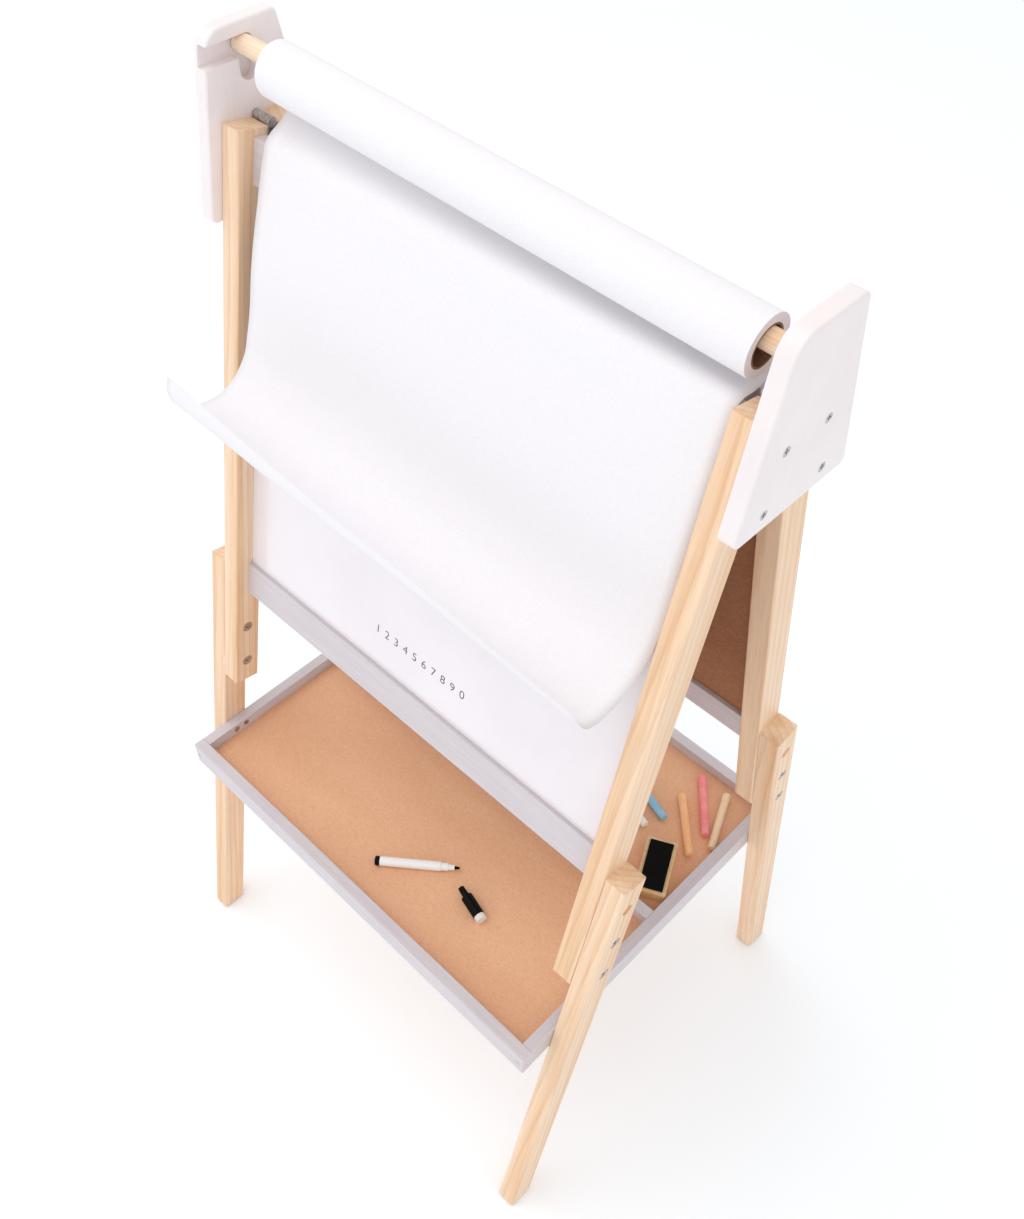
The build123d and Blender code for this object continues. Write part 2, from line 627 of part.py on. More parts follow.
def marker_cap():
    """The marker's cap with the felt wiper on its end."""
    x, y, heading = CAP_PLACE
    felt_l = CAP_L - CAP_NECK_L - CAP_BODY_L
    body = fillet(Cylinder(CAP_R, CAP_BODY_L).edges().filter_by(GeomType.CIRCLE), 0.8)
    neck, body, felt = stacked(
        CAP_L,
        (CAP_NECK_L, Cone(CAP_NECK_R, CAP_NECK_R + 0.4, CAP_NECK_L)),
        (CAP_BODY_L, body),
        (felt_l, Cylinder(CAP_FELT_R, felt_l)))
    save("marker_cap", lying(x, y, heading, CAP_R, neck + body))
    save("marker_cap_felt", lying(x, y, heading, CAP_R, felt))


def board_eraser():
    """Wooden block with a felt pad, felt side up."""
    x, y, heading = ERASER_PLACE
    block = fillet(Box(ERASER_L, ERASER_W, ERASER_H).edges().filter_by(Axis.Z), ERASER_EDGE)
    felt = Box(ERASER_L - 2 * ERASER_BORDER, ERASER_W - 2 * ERASER_BORDER, ERASER_FELT_T)
    place = Pos(x, y, FLOOR_Z + ERASER_H / 2) * Rot(0, 0, heading)
    save("eraser_block", place * block)
    save("eraser_felt", place * Pos(0, 0, (ERASER_H + ERASER_FELT_T) / 2) * felt)


def main():
    os.makedirs("parts", exist_ok=True)
    sides = ("left", "right")
    leg_left = upper_leg()
    ext_left = extension()
    for end, legs, exts in zip(("front", "rear"), front_rear(leg_left), front_rear(ext_left)):
        for side, leg, ext in zip(sides, left_right(legs), left_right(exts)):
            save(f"{end}_leg_{side}", leg)
            save(f"{end}_extension_{side}", ext)
    save("foot_pads", group(four(foot_pad())))
    save("extension_bolts", group(b for s in BOLT_S for b in four(leg_bolt(s))))
    save("extension_nuts", group(n for s in BOLT_S for n in four(leg_nut(s))))

    rails = {"top": board_rail(RAIL_TOP_S, True), "bottom": board_rail(RAIL_LOW_S, False)}
    for name, rail in rails.items():
        front, rear = front_rear(rail)
        save(f"front_{name}_rail", front)
        save(f"rear_{name}_rail", rear)
    pins = [rail_pin(s + RAIL_H / 2) for s in (RAIL_TOP_S, RAIL_LOW_S)]
    save("rail_pins", group(p for pin in pins for p in four(pin)))
    backing = front_rear(board_layer(PANEL_INNER, BACKING_T))
    surface = front_rear(board_layer(PANEL_INNER + BACKING_T, SURFACE_T))
    for name, back, top in zip(("whiteboard", "chalkboard"), backing, surface):
        save(f"{name}_backing", back)
        save(f"{name}_surface", top)

    save("side_plate_left", side_plate(slot_solid))
    save("side_plate_right", mirror(side_plate(blind_hole), about=Plane.YZ))
    save("plate_screws", group(s for screw in plate_screws() for s in left_right(screw)))

    save("paper_bar", paper_bar())
    core = tube(CORE_R + CORE_T, CORE_R, ROLL_LENGTH)
    roll = tube(ROLL_R, CORE_R + CORE_T, ROLL_LENGTH)
    save("roll_core", on_bar(ROLL_MIDDLE_X, ROLL_DROP, core))
    save("paper_roll", on_bar(ROLL_MIDDLE_X, ROLL_DROP, roll))
    save("paper_sheet", paper_sheet())

    tray()
    front_leaf = hinge_leaf((0, 2, 4))
    rear_leaf = mirror(hinge_leaf((1, 3)), about=Plane.XZ)
    save("hinge_leaves_front", group(left_right(front_leaf)))
    save("hinge_leaves_rear", group(left_right(rear_leaf)))
    save("hinge_pins", group(left_right(hinge_pin())))
    save("hinge_screws", group(s for screw in hinge_leaf_screws() for s in four(screw)))

    for name, (x, y, heading, length) in CHALKS.items():
        save(f"chalk_{name}", lying(x, y, heading, CHALK_R, stick(length)))
    marker()
    marker_cap()
    board_eraser()


main()
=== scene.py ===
import bpy
import json
from math import cos, pi, radians, sin, tan
from mathutils import Matrix, Vector


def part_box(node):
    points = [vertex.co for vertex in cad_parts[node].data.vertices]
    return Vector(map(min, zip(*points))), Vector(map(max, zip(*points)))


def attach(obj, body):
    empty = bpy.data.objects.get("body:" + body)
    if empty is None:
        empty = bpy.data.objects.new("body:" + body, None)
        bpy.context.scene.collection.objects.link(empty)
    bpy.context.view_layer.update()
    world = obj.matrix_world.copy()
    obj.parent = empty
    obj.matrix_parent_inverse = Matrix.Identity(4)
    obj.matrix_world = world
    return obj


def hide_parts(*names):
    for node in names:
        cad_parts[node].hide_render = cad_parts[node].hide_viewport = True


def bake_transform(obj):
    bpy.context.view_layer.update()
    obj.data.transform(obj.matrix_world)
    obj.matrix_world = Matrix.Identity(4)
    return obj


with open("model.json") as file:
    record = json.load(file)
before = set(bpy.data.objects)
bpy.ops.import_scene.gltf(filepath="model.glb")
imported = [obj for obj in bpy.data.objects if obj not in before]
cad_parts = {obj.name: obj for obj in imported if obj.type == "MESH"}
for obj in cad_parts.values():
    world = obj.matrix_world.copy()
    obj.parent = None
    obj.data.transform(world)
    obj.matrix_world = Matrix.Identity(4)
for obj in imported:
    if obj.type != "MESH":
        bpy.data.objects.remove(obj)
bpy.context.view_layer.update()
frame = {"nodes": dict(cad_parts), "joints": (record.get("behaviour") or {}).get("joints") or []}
nodes = frame["nodes"]
print("frame loaded:", len(nodes), "nodes")

legTilt = radians(11.57)


def box(name):
    lo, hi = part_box(name)
    return Vector(lo), Vector(hi)


def srgb(r, g, b):
    channels = [pow((c / 255 + 0.055) / 1.055, 2.4) if c > 10 else c / 255 / 12.92 for c in (r, g, b)]
    return (*channels, 1.0)


def deselect():
    for o in bpy.context.selected_objects:
        o.select_set(False)


def makeActive(obj):
    deselect()
    obj.select_set(True)
    bpy.context.view_layer.objects.active = obj


def newMaterial(name, color, roughness, coat=0.0, sheen=0.0, metallic=0.0):
    mat = bpy.data.materials.new(name)
    mat.use_nodes = True
    tree = mat.node_tree
    bsdf = tree.nodes["Principled BSDF"]
    bsdf.inputs["Base Color"].default_value = color
    bsdf.inputs["Roughness"].default_value = roughness
    bsdf.inputs["Coat Weight"].default_value = coat
    bsdf.inputs["Sheen Weight"].default_value = sheen
    bsdf.inputs["Metallic"].default_value = metallic
    return mat, tree, bsdf


def add(tree, kind, **inputs):
    node = tree.nodes.new("ShaderNode" + kind)
    for key, value in inputs.items():
        if key in node.inputs:
            node.inputs[key].default_value = value
        else:
            setattr(node, key, value)
    return node


def objectCoords(tree, shift=(0, 0, 0), turn=(0, 0, 0), scale=(1, 1, 1)):
    coords = add(tree, "TexCoord")
    mapping = add(tree, "Mapping", Location=shift, Rotation=turn, Scale=scale)
    tree.links.new(coords.outputs["Object"], mapping.inputs["Vector"])
    return mapping.outputs["Vector"]


def stretched(tree, vector, scale):
    mapping = add(tree, "Mapping", Scale=scale)
    tree.links.new(vector, mapping.inputs["Vector"])
    return mapping.outputs["Vector"]


def noise(tree, vector, scale, detail=4.0, roughness=0.55):
    node = add(tree, "TexNoise", Scale=scale, Detail=detail, Roughness=roughness)
    tree.links.new(vector, node.inputs["Vector"])
    return node.outputs["Fac"]


def ramp(tree, value, stops):
    node = add(tree, "ValToRGB")
    elements = node.color_ramp.elements
    while len(elements) < len(stops):
        elements.new(0.5)
    for element, (place, color) in zip(elements, stops):
        element.position = place
        element.color = color
    tree.links.new(value, node.inputs["Fac"])
    return node.outputs["Color"]


def mixColors(tree, amount, a, b, blend="MIX"):
    node = tree.nodes.new("ShaderNodeMix")
    node.data_type = "RGBA"
    node.blend_type = blend
    for socket, value in ((node.inputs[0], amount), (node.inputs[6], a), (node.inputs[7], b)):
        if isinstance(value, bpy.types.NodeSocket):
            tree.links.new(value, socket)
        else:
            socket.default_value = value
    return node.outputs[2]


def bump(tree, bsdf, height, strength, distance):
    node = add(tree, "Bump", Strength=strength, Distance=distance)
    tree.links.new(height, node.inputs["Height"])
    tree.links.new(node.outputs["Normal"], bsdf.inputs["Normal"])
    return node


def mapRange(tree, value, low, high):
    node = add(tree, "MapRange")
    node.inputs["To Min"].default_value = low
    node.inputs["To Max"].default_value = high
    tree.links.new(value, node.inputs["Value"])
    return node.outputs["Result"]


def paint(names, mat):
    for name in names:
        for slotItem in nodes[name].material_slots:
            slotItem.material = mat


pine = {
    "light": srgb(249, 223, 197), "mid": srgb(241, 208, 176), "late": srgb(220, 172, 128),
    "ringGap": 0.0068, "wander": 0.022, "roughness": 0.52,
}


# Solid growth rings round a pith beside the stick, so the end grain and the long faces agree.
def woodMaterial(name, pith, turn, look, ringShare=0.36):
    mat, tree, bsdf = newMaterial(name, look["mid"], look["roughness"], coat=0.08)
    along = objectCoords(tree, shift=pith, turn=turn)
    slow = stretched(tree, along, (5, 5, 1.1))
    wanderNoise = add(tree, "TexNoise", Scale=1.0, Detail=2.0, Roughness=0.5)
    tree.links.new(slow, wanderNoise.inputs["Vector"])
    shiftVector = add(tree, "VectorMath", operation="MULTIPLY_ADD")
    shiftVector.inputs[1].default_value = (look["wander"] * 2, look["wander"] * 2, 0)
    tree.links.new(wanderNoise.outputs["Color"], shiftVector.inputs[0])
    tree.links.new(along, shiftVector.inputs[2])
    rings = add(tree, "TexWave", wave_type="RINGS", rings_direction="Z", wave_profile="SAW",
                Scale=2 * pi / (20 * look["ringGap"]), Distortion=0.6, Detail=2.0)
    rings.inputs["Detail Scale"].default_value = 1.2
    tree.links.new(shiftVector.outputs["Vector"], rings.inputs["Vector"])
    ringColor = ramp(tree, rings.outputs["Fac"],
                     [(0.0, look["light"]), (0.55, look["mid"]), (0.86, look["late"]), (1.0, look["light"])])
    base = mixColors(tree, ringShare, look["light"], ringColor)
    fibres = noise(tree, stretched(tree, along, (900, 900, 14)), 1.0, 3.0, 0.6)
    fibreColor = ramp(tree, fibres, [(0.3, srgb(232, 214, 196)), (0.62, srgb(255, 255, 255))])
    withFibres = mixColors(tree, 0.5, base, fibreColor, "MULTIPLY")
    patches = noise(tree, stretched(tree, along, (60, 60, 1.6)), 1.0, 2.0)
    patchColor = ramp(tree, patches, [(0.34, srgb(244, 226, 200)), (0.56, srgb(255, 254, 249))])
    tree.links.new(mixColors(tree, 0.8, withFibres, patchColor, "MULTIPLY"), bsdf.inputs["Base Color"])
    tree.links.new(mapRange(tree, fibres, look["roughness"] - 0.08, look["roughness"] + 0.14),
                   bsdf.inputs["Roughness"])
    bump(tree, bsdf, fibres, 0.25, 0.0002)
    return mat


# Each leg is cut from its own board, so the middle of its rings lies elsewhere.
legPiths = {
    "front": {"left": (0.31, 0.05, 0), "right": (-0.20, 0.07, 0)},
    "rear": {"left": (0.33, -0.06, 0.4), "right": (-0.22, -0.05, 0.9)},
    "extensionShift": Vector((0.013, -0.012, 0.37)),
}


def paintLegs():
    lean = {"front": legTilt, "rear": -legTilt}
    legs = [(end, side) for end in ("front", "rear") for side in ("left", "right")]
    for i, (end, side) in enumerate(legs):
        pith, turn = Vector(legPiths[end][side]), (lean[end], 0, 0)
        paint([f"{end}_leg_{side}"], woodMaterial(f"pineLeg{i}", pith, turn, pine))
        paint([f"{end}_extension_{side}"],
              woodMaterial(f"pineExtension{i}", pith + legPiths["extensionShift"], turn, pine))


dowel = dict(pine, light=srgb(253, 234, 212), mid=srgb(248, 222, 194), late=srgb(236, 200, 162),
             ringGap=0.0022, wander=0.004)
beech = dict(pine, light=srgb(240, 208, 164), mid=srgb(232, 196, 148), late=srgb(210, 164, 112),
             ringGap=0.003, wander=0.003)


def paintBarAndEraser():
    paint(["paper_bar", "rail_pins"], woodMaterial("barWood", (0.0, 0.012, 0), (0, pi / 2, 0), dowel, 0.4))
    paint(["eraser_block"], woodMaterial("eraserWood", (0.03, 0.05, 0), (0, pi / 2, 0.4), beech))


greyPaint = {"color": srgb(214, 207, 211), "dark": srgb(188, 179, 184), "roughness": 0.42,
             "grainShare": 0.55, "bumpDepth": 0.00012}
platePaint = {"color": srgb(244, 236, 236), "dark": srgb(236, 227, 227), "roughness": 0.38,
              "grainShare": 0.35, "bumpDepth": 0.00008}


def paintedWood(name, look, grainTurn):
    color, roughness = look["color"], look["roughness"]
    mat, tree, bsdf = newMaterial(name, color, roughness, coat=0.15)
    bsdf.inputs["Coat Roughness"].default_value = 0.35
    along = objectCoords(tree, turn=grainTurn)
    grain = noise(tree, stretched(tree, along, (700, 700, 10)), 1.0, 4.0, 0.6)
    cloud = noise(tree, along, 18.0, 3.0)
    shade = ramp(tree, grain, [(0.28, look["dark"]), (0.6, color)])
    base = mixColors(tree, look["grainShare"], color, shade)
    clouds = ramp(tree, cloud, [(0.35, srgb(251, 250, 251)), (0.65, srgb(255, 255, 255))])
    tree.links.new(mixColors(tree, 1.0, base, clouds, "MULTIPLY"), bsdf.inputs["Base Color"])
    tree.links.new(mapRange(tree, grain, roughness - 0.06, roughness + 0.1), bsdf.inputs["Roughness"])
    bump(tree, bsdf, grain, 0.3, look["bumpDepth"])
    return mat


def paintRails():
    alongX = paintedWood("greyPaintAcross", greyPaint, (0, pi / 2, 0))
    alongY = paintedWood("greyPaintDeep", greyPaint, (pi / 2, 0, 0))
    paint(["front_top_rail", "front_bottom_rail", "rear_top_rail", "rear_bottom_rail",
           "tray_front_rail", "tray_rear_rail", "tray_divider"], alongX)
    paint(["tray_side_rail_left", "tray_side_rail_right"], alongY)
    paint(["side_plate_left", "side_plate_right"], paintedWood("whitePlatePaint", platePaint, (0, 0, 0)))


hardboards = {
    "boardBack": {"light": srgb(176, 122, 84), "dark": srgb(140, 92, 58), "roughness": 0.6},
    "trayFloor": {"light": srgb(245, 194, 155), "dark": srgb(234, 178, 138), "roughness": 0.55},
}


def hardboard(name):
    light, dark, roughness = (hardboards[name][key] for key in ("light", "dark", "roughness"))
    mat, tree, bsdf = newMaterial(name, light, roughness)
    plain = objectCoords(tree)
    fibres = noise(tree, stretched(tree, plain, (210, 480, 480)), 1.0, 6.0, 0.7)
    specks = noise(tree, plain, 1400.0, 2.0, 0.6)
    cloud = noise(tree, stretched(tree, plain, (3, 9, 9)), 1.0, 3.0)
    base = ramp(tree, fibres, [(0.3, dark), (0.62, light)])
    speckColor = ramp(tree, specks, [(0.3, srgb(226, 212, 202)), (0.55, srgb(255, 255, 255))])
    base = mixColors(tree, 0.45, base, speckColor, "MULTIPLY")
    cloudColor = ramp(tree, cloud, [(0.3, srgb(236, 226, 220)), (0.7, srgb(255, 255, 255))])
    tree.links.new(mixColors(tree, 0.8, base, cloudColor, "MULTIPLY"), bsdf.inputs["Base Color"])
    tree.links.new(mapRange(tree, fibres, roughness - 0.05, roughness + 0.12), bsdf.inputs["Roughness"])
    bump(tree, bsdf, fibres, 0.35, 0.00015)
    return mat


def whiteLacquer():
    mat, tree, bsdf = newMaterial("whiteboardLacquer", srgb(238, 232, 236), 0.16, coat=0.5)
    bsdf.inputs["Coat Roughness"].default_value = 0.08
    plain = objectCoords(tree)
    smears = noise(tree, stretched(tree, plain, (9, 30, 5)), 1.0, 4.0, 0.6)
    tree.links.new(ramp(tree, smears, [(0.35, srgb(235, 229, 233)), (0.6, srgb(240, 234, 238))]),
                   bsdf.inputs["Base Color"])
    tree.links.new(mapRange(tree, smears, 0.10, 0.26), bsdf.inputs["Roughness"])
    bump(tree, bsdf, noise(tree, plain, 60.0, 2.0), 0.04, 0.0002)
    return mat


def slate():
    mat, tree, bsdf = newMaterial("chalkboardPaint", srgb(44, 46, 47), 0.82)
    plain = objectCoords(tree)
    dust = noise(tree, stretched(tree, plain, (14, 40, 6)), 1.0, 6.0, 0.65)
    grit = noise(tree, plain, 900.0, 3.0, 0.6)
    dustColor = ramp(tree, dust, [(0.45, srgb(40, 42, 43)), (0.8, srgb(70, 72, 73))])
    gritColor = ramp(tree, grit, [(0.35, srgb(200, 200, 200)), (0.6, srgb(255, 255, 255))])
    tree.links.new(mixColors(tree, 0.7, dustColor, gritColor, "MULTIPLY"), bsdf.inputs["Base Color"])
    bump(tree, bsdf, grit, 0.4, 0.00015)
    return mat


def paintBoards():
    paint(["whiteboard_surface"], whiteLacquer())
    paint(["chalkboard_surface"], slate())
    paint(["whiteboard_backing", "chalkboard_backing"], hardboard("boardBack"))
    paint(["tray_floor_front", "tray_floor_rear"], hardboard("trayFloor"))


def zincSteel():
    mat, tree, bsdf = newMaterial("zincSteel", srgb(190, 188, 186), 0.3, metallic=1.0)
    plain = objectCoords(tree)
    spots = noise(tree, plain, 320.0, 4.0, 0.6)
    tree.links.new(ramp(tree, spots, [(0.3, srgb(150, 148, 147)), (0.65, srgb(214, 212, 210))]),
                   bsdf.inputs["Base Color"])
    tree.links.new(mapRange(tree, spots, 0.24, 0.5), bsdf.inputs["Roughness"])
    bump(tree, bsdf, spots, 0.15, 0.0001)
    return mat


# Chalk is paler where it has rubbed, and its pits between the grains are darkened as painted shade.
def chalkMaterial(name, color, pale, pitShade):
    mat, tree, bsdf = newMaterial("chalk" + name, color, 0.95, sheen=0.1)
    plain = objectCoords(tree)
    grains = noise(tree, plain, 900.0, 5.0, 0.7)
    rubs = noise(tree, plain, 90.0, 4.0, 0.6)
    streaks = noise(tree, plain, 240.0, 3.0, 0.6)
    # painted shade: the grain hollows (low bump) take the dark pit tone, the high grains the paler rubbed
    # tone
    grainPitShadeAndRub = ramp(tree, grains, [(0.28, pitShade), (0.42, color), (0.72, pale)])
    rubColor = ramp(tree, rubs, [(0.45, color), (0.68, pale)])
    wornAndPitShaded = mixColors(tree, 0.45, grainPitShadeAndRub, rubColor)
    # the streak marks use the same dark tone as the painted pit shade
    marks = ramp(tree, streaks, [(0.30, pitShade), (0.40, srgb(255, 255, 255))])
    tree.links.new(mixColors(tree, 0.35, wornAndPitShaded, marks, "MULTIPLY"), bsdf.inputs["Base Color"])
    bump(tree, bsdf, grains, 0.7, 0.0004)
    return mat


def moulded(name, color, roughness, coat=0.2, specular=0.5):
    mat, tree, bsdf = newMaterial(name, color, roughness, coat=coat)
    bsdf.inputs["Specular IOR Level"].default_value = specular
    grain = noise(tree, objectCoords(tree), 1200.0, 3.0, 0.5)
    tree.links.new(mapRange(tree, grain, roughness - 0.06, roughness + 0.12), bsdf.inputs["Roughness"])
    bump(tree, bsdf, grain, 0.12, 0.00008)
    return mat


def felt(name, color, pale):
    mat, tree, bsdf = newMaterial(name, color, 1.0, sheen=0.03)
    bsdf.inputs["Sheen Roughness"].default_value = 0.6
    bsdf.inputs["Specular IOR Level"].default_value = 0.08
    fuzz = noise(tree, objectCoords(tree), 1600.0, 6.0, 0.75)
    tree.links.new(ramp(tree, fuzz, [(0.3, color), (0.75, pale)]), bsdf.inputs["Base Color"])
    bump(tree, bsdf, fuzz, 0.9, 0.0006)
    return mat


# each chalk: its own colour, its paler rubbed tone, and the darker tone painted as shade in its pits
chalkColors = {
    "blue": ((134, 192, 226), (182, 220, 240), (104, 164, 204)),
    "white": ((244, 240, 236), (252, 251, 250), (222, 216, 210)),
    "orange": ((252, 190, 130), (255, 216, 174), (232, 158, 100)),
    "pink": ((250, 134, 140), (254, 182, 184), (226, 104, 114)),
    "cream": ((242, 210, 172), (248, 228, 200), (222, 186, 142)),
}


def paintSmallThings():
    paint(["extension_bolts", "extension_nuts", "plate_screws", "tray_corner_screws", "tray_leg_screws",
           "tray_end_pins", "hinge_leaves_front", "hinge_leaves_rear", "hinge_pins", "hinge_screws"],
          zincSteel())
    for name, tones in chalkColors.items():
        paint(["chalk_" + name], chalkMaterial(name, *(srgb(*tone) for tone in tones)))
    paint(["marker_barrel"], moulded("markerWhite", srgb(244, 244, 244), 0.3))
    paint(["marker_plug", "marker_cap"], moulded("markerBlack", srgb(5, 4, 4), 0.5, 0.0, 0.12))
    paint(["marker_nib", "eraser_felt"], felt("blackFelt", srgb(4, 3, 3), srgb(20, 17, 17)))
    paint(["marker_cap_felt"], felt("whiteFelt", srgb(228, 226, 220), srgb(250, 249, 246)))
    paint(["foot_pads"], felt("footFelt", srgb(92, 84, 76), srgb(130, 120, 110)))


def paperMaterial(name):
    mat, tree, bsdf = newMaterial(name, srgb(238, 236, 239), 0.72)
    plain = objectCoords(tree)
    fibres = noise(tree, plain, 700.0, 5.0, 0.65)
    tree.links.new(ramp(tree, fibres, [(0.3, srgb(235, 233, 237)), (0.6, srgb(241, 239, 242))]),
                   bsdf.inputs["Base Color"])
    bump(tree, bsdf, fibres, 0.12, 0.0001)
    return mat


# Wound layers show on the roll's ends as fine rings round its axis.
def rollMaterial(center, axis, layerGap):
    mat, tree, bsdf = newMaterial("paperOnRoll", srgb(238, 236, 239), 0.75)
    turn = axis.rotation_difference(Vector((0, 0, 1))).to_euler()
    moved = -(turn.to_matrix() @ center)
    around = objectCoords(tree, shift=moved, turn=turn)
    layers = add(tree, "TexWave", wave_type="RINGS", rings_direction="Z",
                 Scale=2 * pi / (20 * layerGap), Distortion=1.2, Detail=2.0)
    tree.links.new(around, layers.inputs["Vector"])
    fibres = noise(tree, objectCoords(tree), 700.0, 5.0, 0.65)
    layerColor = ramp(tree, layers.outputs["Fac"], [(0.0, srgb(206, 198, 202)), (1.0, srgb(241, 238, 240))])
    sideColor = ramp(tree, fibres, [(0.3, srgb(235, 233, 237)), (0.6, srgb(241, 239, 242))])
    facing = add(tree, "NewGeometry")
    straight = add(tree, "VectorMath", operation="DOT_PRODUCT")
    tree.links.new(facing.outputs["True Normal"], straight.inputs[0])
    straight.inputs[1].default_value = axis
    endShare = add(tree, "Math", operation="ABSOLUTE")
    tree.links.new(straight.outputs["Value"], endShare.inputs[0])
    rollColor = mixColors(tree, endShare.outputs["Value"], sideColor, layerColor)
    tree.links.new(rollColor, bsdf.inputs["Base Color"])
    height = mixColors(tree, endShare.outputs["Value"], fibres, layers.outputs["Fac"])
    bump(tree, bsdf, height, 0.2, 0.0002)
    return mat


def cardboardMaterial():
    mat, tree, bsdf = newMaterial("cardboardCore", srgb(120, 86, 58), 0.85)
    fibres = noise(tree, stretched(tree, objectCoords(tree), (160, 700, 700)), 1.0, 5.0, 0.6)
    tree.links.new(ramp(tree, fibres, [(0.3, srgb(98, 66, 42)), (0.7, srgb(140, 104, 74))]),
                   bsdf.inputs["Base Color"])
    bump(tree, bsdf, fibres, 0.4, 0.0002)
    return mat


rollJoint = next(j for j in frame["joints"] if j["name"] == "roll_turn")
rollCenter = Vector(rollJoint["pos_m"])
rollAxis = Vector(rollJoint["axis"]).normalized()

# How the loose paper falls beyond the rail's front edge, as (back, up) in metres from that edge.
sheetShape = {
    "left": {"slack": (0.0025, -0.0355), "fall": [
        (-0.0035, -0.0075), (-0.0130, -0.036), (-0.0305, -0.093), (-0.0460, -0.156), (-0.0580, -0.1845),
        (-0.0810, -0.202), (-0.1070, -0.203), (-0.1280, -0.1935), (-0.1360, -0.176), (-0.1325, -0.1585)]},
    "right": {"slack": (0.0040, -0.0310), "fall": [
        (-0.0032, -0.0070), (-0.0108, -0.040), (-0.0265, -0.120), (-0.0435, -0.206), (-0.0585, -0.226),
        (-0.0875, -0.240), (-0.1090, -0.2375), (-0.1210, -0.224), (-0.1245, -0.212)]},
    "leaving": [(1, 0), (0.96, -0.38), (0.77, -0.85)],  # off the back of the roll, in its radii
    "rollRadius": 0.0230, "railHeight": 0.040, "lipRise": 0.0018, "inset": 0.0005, "lean": radians(1.0),
    "columns": 48, "rows": 130, "thickness": 0.00025,
    "ripple": 0.0014, "rippleFrom": 0.25, "wavesAcross": 9, "wavesDown": 5,
    "flat": (0.464, 0.383), "blendBack": 0.018,
}


def rollHeight(x):
    return rollCenter.z + (x - rollCenter.x) * rollAxis.z / rollAxis.x


def curvePoints(points, count):  # evenly spaced on a smooth curve through the given ones
    curve = bpy.data.curves.new("sheetProfile", "CURVE")
    curve.dimensions = "3D"
    spline = curve.splines.new("BEZIER")
    spline.bezier_points.add(len(points) - 1)
    for handle, (y, z) in zip(spline.bezier_points, points):
        handle.co = (0, y, z)
        handle.handle_left_type = handle.handle_right_type = "AUTO"
    curve.resolution_u = 40
    obj = bpy.data.objects.new("sheetProfile", curve)
    bpy.context.collection.objects.link(obj)
    line = bpy.data.meshes.new_from_object(obj)
    fine = [v.co.copy() for v in line.vertices]
    bpy.data.objects.remove(obj)
    lengths = [0.0]
    for a, b in zip(fine, fine[1:]):
        lengths.append(lengths[-1] + (b - a).length)
    out, k = [], 0
    for i in range(count):
        target = lengths[-1] * i / (count - 1)
        while k < len(fine) - 2 and lengths[k + 1] < target:
            k += 1
        span = lengths[k + 1] - lengths[k]
        out.append(fine[k].lerp(fine[k + 1], (target - lengths[k]) / span if span else 0))
    return out, lengths[-1]


def makeSheet():
    railLow, railHigh = box("front_top_rail")
    lipY = railLow.y + sheetShape["railHeight"] * sin(legTilt)
    lipZ = railHigh.z + sheetShape["lipRise"]
    rollLow, rollHigh = box("paper_roll")
    ends = {"left": rollLow.x + sheetShape["inset"], "right": rollHigh.x - sheetShape["inset"]}
    sides = {}
    for side in ("left", "right"):
        axisZ = rollHeight(ends[side])
        r = sheetShape["rollRadius"]
        points = [(back * r, axisZ + up * r) for back, up in sheetShape["leaving"]]
        slack = sheetShape[side]["slack"]
        points += [(slack[0], axisZ + slack[1]), (lipY, lipZ)]
        points += [(lipY + y, lipZ + z) for y, z in sheetShape[side]["fall"]]
        line, length = curvePoints(points, sheetShape["rows"])
        sides[side] = [Vector((ends[side] + (p.z - axisZ) * tan(sheetShape["lean"]), p.y, p.z)) for p in line]
        print("sheet", side, "edge length", round(length, 4))
    rows, columns = sheetShape["rows"], sheetShape["columns"]
    mesh = bpy.data.meshes.new("paperSheet")
    verts, faces = [], []
    for i in range(rows):
        a, b = sides["left"][i], sides["right"][i]
        along = i / (rows - 1)
        for j in range(columns):
            t = j / (columns - 1)
            p = a.lerp(b, t)
            free = max(0.0, along - sheetShape["rippleFrom"]) * 4 * t * (1 - t)
            wave = sin(sheetShape["wavesAcross"] * t + sheetShape["wavesDown"] * along)
            p.y -= sheetShape["ripple"] * free * (1 + wave)
            verts.append(p)
    for i in range(rows - 1):
        for j in range(columns - 1):
            k = i * columns + j
            faces.append((k, k + 1, k + columns + 1, k + columns))
    mesh.from_pydata(verts, [], faces)
    sheet = bpy.data.objects.new("paperSheet", mesh)
    bpy.context.collection.objects.link(sheet)
    makeActive(sheet)
    bpy.ops.object.shade_smooth()
    solid = sheet.modifiers.new("thickness", "SOLIDIFY")
    solid.thickness = sheetShape["thickness"]
    solid.offset = 0
    bpy.ops.object.modifier_apply(modifier=solid.name)
    bpy.ops.object.mode_set(mode="EDIT")
    bpy.ops.mesh.select_all(action="SELECT")
    bpy.ops.mesh.normals_make_consistent(inside=False)
    bpy.ops.object.mode_set(mode="OBJECT")
    sheet.data.materials.append(paperMaterial("paperLoose"))
    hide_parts("paper_sheet")
    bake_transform(sheet)
    print("paper sheet made")


digits = {
    "text": "1234567890", "height": 0.0095, "pitch": 0.01256, "firstX": -0.0510,
    "rise": 0.0492,  # middle of the row, up the board from its lower edge
    "fontHeight": 0.7,  # height of a figure in a font of size 1
    "thickness": 0.00004, "slimmer": 0.00012, "standOff": 0.00006, "surfaceThickness": 0.0008,
}


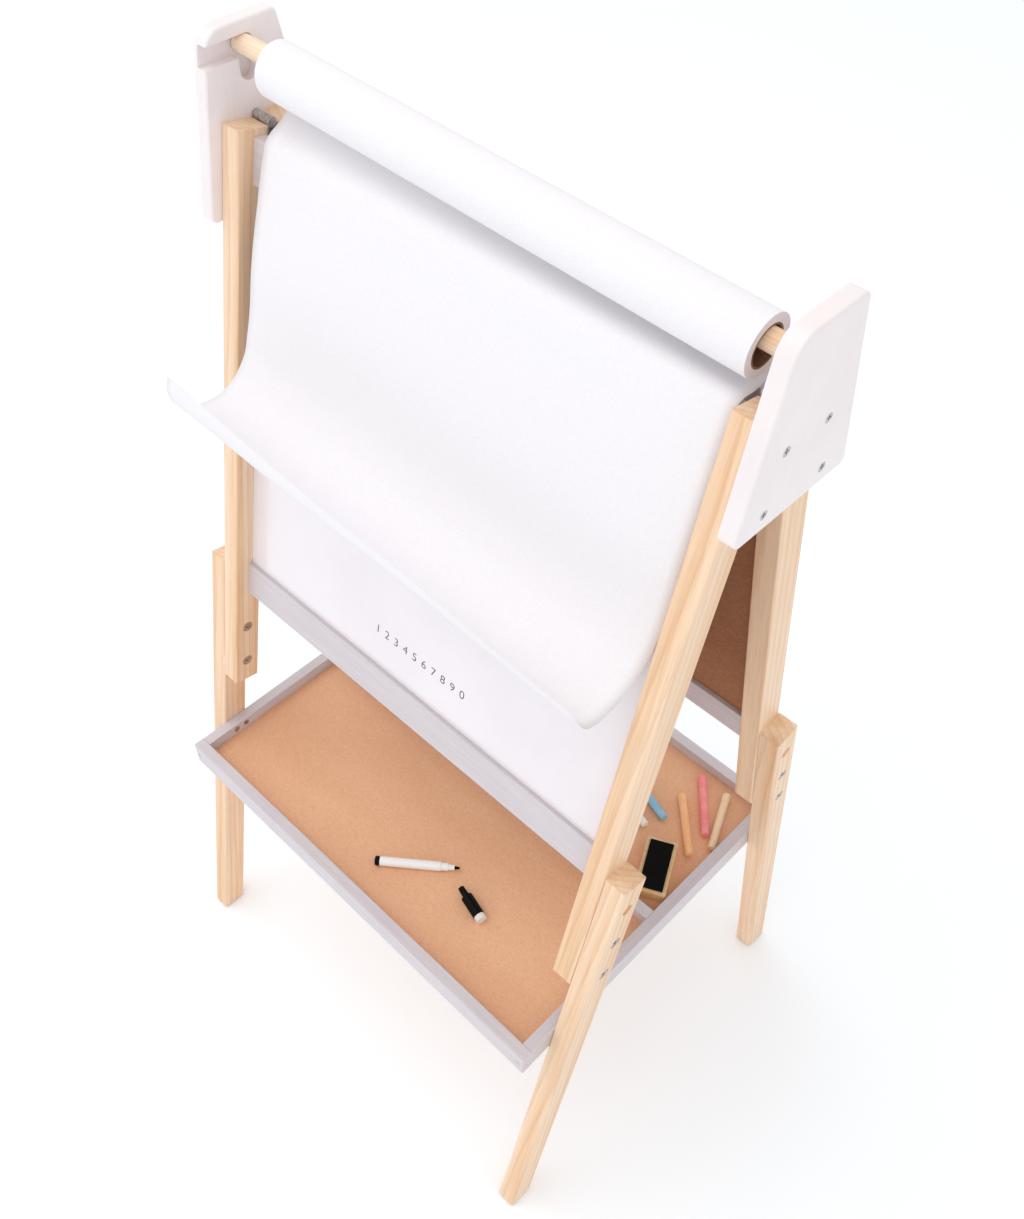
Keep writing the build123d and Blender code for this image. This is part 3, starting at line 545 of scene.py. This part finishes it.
def makeDigits():
    boardLow = box("whiteboard_surface")[0]
    up = Vector((0, sin(legTilt), cos(legTilt)))
    outward = Vector((0, -cos(legTilt), sin(legTilt)))
    boardBottomFront = Vector((0, boardLow.y, boardLow.z + digits["surfaceThickness"] * sin(legTilt)))
    turned = Matrix((Vector((1, 0, 0)), up, outward)).transposed().to_4x4()
    made = []
    for i, letter in enumerate(digits["text"]):
        deselect()
        bpy.ops.object.text_add()
        text = bpy.context.object
        text.data.body = letter
        text.data.size = digits["height"] / digits["fontHeight"]
        text.data.align_x = "CENTER"
        text.data.align_y = "CENTER"
        text.data.extrude = digits["thickness"]
        text.data.offset = -digits["slimmer"]
        place = boardBottomFront + up * digits["rise"] + outward * digits["standOff"]
        place.x = digits["firstX"] + i * digits["pitch"]
        text.matrix_world = Matrix.Translation(place) @ turned
        makeActive(text)
        bpy.ops.object.convert(target="MESH")
        made.append(bpy.context.object)
    deselect()
    for o in made:
        o.select_set(True)
    bpy.context.view_layer.objects.active = made[0]
    bpy.ops.object.join()
    row = bpy.context.object
    bpy.ops.object.transform_apply(location=True, rotation=True, scale=True)
    row.name = "boardDigits"
    mat, tree, bsdf = newMaterial("digitInk", srgb(58, 60, 70), 0.45)
    ink = noise(tree, objectCoords(tree), 900.0, 3.0)
    inkColor = ramp(tree, ink, [(0.3, srgb(48, 50, 60)), (0.7, srgb(84, 86, 96))])
    tree.links.new(inkColor, bsdf.inputs["Base Color"])
    row.data.materials.clear()
    row.data.materials.append(mat)
    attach(row, "root")
    print("digits made")


def paintRoll():
    paint(["paper_roll"], rollMaterial(rollCenter, rollAxis, 0.0007))
    paint(["roll_core"], cardboardMaterial())


camera = {"place": (0.53965, -0.54479, 1.50856), "turn": (39.751, 0.127, 44.810), "lens": 41.943,
          "shiftX": 0.0278, "shiftY": 0.0331, "sensor": 36.0, "nearest": 0.01}
studio = {
    "floorSize": 14, "floorDrop": 0.0004, "floorColor": srgb(244, 250, 255), "floorRoughness": 0.9,
    "floorGlow": 0.11, "skyColor": (1, 0.99, 0.985, 1), "skyStrength": 0.88, "aim": Vector((0, 0, 0.6)),
    "lights": {"keyLight": {"place": (-1.3, -0.9, 3.4), "size": 3.2, "energy": 34},
               "fillLight": {"place": (1.4, -2.8, 1.9), "size": 2.6, "energy": 7}},
}


def makeCamera():
    data = bpy.data.cameras.new("studioCamera")
    data.sensor_width = camera["sensor"]
    data.sensor_fit = "HORIZONTAL"
    data.lens = camera["lens"]
    data.shift_x = camera["shiftX"]
    data.shift_y = camera["shiftY"]
    data.clip_start = camera["nearest"]
    cam = bpy.data.objects.new("studioCamera", data)
    cam.location = camera["place"]
    cam.rotation_euler = [radians(a) for a in camera["turn"]]
    bpy.context.collection.objects.link(cam)
    bpy.context.scene.camera = cam


def makeFloor():
    deselect()
    bpy.ops.mesh.primitive_plane_add(size=studio["floorSize"], location=(0, 0, -studio["floorDrop"]))
    floor = bpy.context.object
    floor.name = "studioFloor"
    floorMat, tree, bsdf = newMaterial("floorPaper", studio["floorColor"], studio["floorRoughness"])
    bsdf.inputs["Emission Color"].default_value = srgb(255, 255, 255)
    bsdf.inputs["Emission Strength"].default_value = studio["floorGlow"]
    floor.data.materials.append(floorMat)


def makeLights():
    world = bpy.data.worlds.new("studioWorld")
    world.use_nodes = True
    sky = world.node_tree.nodes["Background"]
    sky.inputs["Color"].default_value = studio["skyColor"]
    sky.inputs["Strength"].default_value = studio["skyStrength"]
    bpy.context.scene.world = world
    for name, lightLook in studio["lights"].items():
        light = bpy.data.lights.new(name, "AREA")
        light.size = lightLook["size"]
        light.energy = lightLook["energy"]
        lamp = bpy.data.objects.new(name, light)
        lamp.location = lightLook["place"]
        towards = studio["aim"] - Vector(lightLook["place"])
        lamp.rotation_euler = towards.to_track_quat("-Z", "Y").to_euler()
        bpy.context.collection.objects.link(lamp)


def makeStudio():
    makeCamera()
    makeFloor()
    makeLights()
    bpy.context.scene.view_settings.view_transform = "Standard"
    print("studio made")


makeStudio()
paintLegs()
paintBarAndEraser()
paintRails()
paintBoards()
paintSmallThings()
paintRoll()
print("materials made")
makeSheet()
makeDigits()
